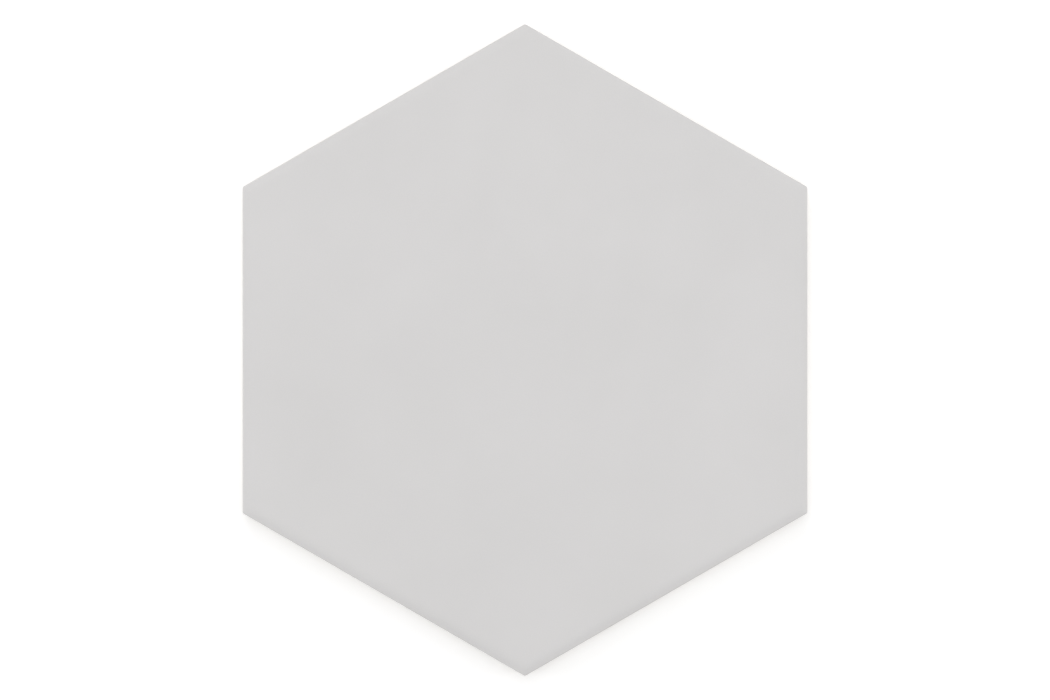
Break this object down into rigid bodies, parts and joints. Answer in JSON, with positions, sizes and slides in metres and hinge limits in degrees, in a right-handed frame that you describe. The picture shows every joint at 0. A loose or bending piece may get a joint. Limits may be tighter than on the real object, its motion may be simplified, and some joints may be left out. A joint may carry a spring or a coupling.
{
  "type": "hexagonal floor tile",
  "caption": "Regular hexagonal porcelain floor tile with a flat matt face, soft cushion edges, upright sides over a short set-back foot, and a back keyed with shallow honeycomb cells.",
  "frame": {"origin": "centre of the back, on the plane of the ribs that the tile rests on", "axes": "+Z out of the glazed face, +Y towards one corner, +X square to one side"},
  "size_m": [0.198, 0.2284, 0.009],
  "materials": {
    "porcelain": "light grey matt glaze on the face and edge, bare fired porcelain on the lower sides and the back"
  },
  "bodies": {
    "root": {"tile": "porcelain"}
  },
  "joints": []
}
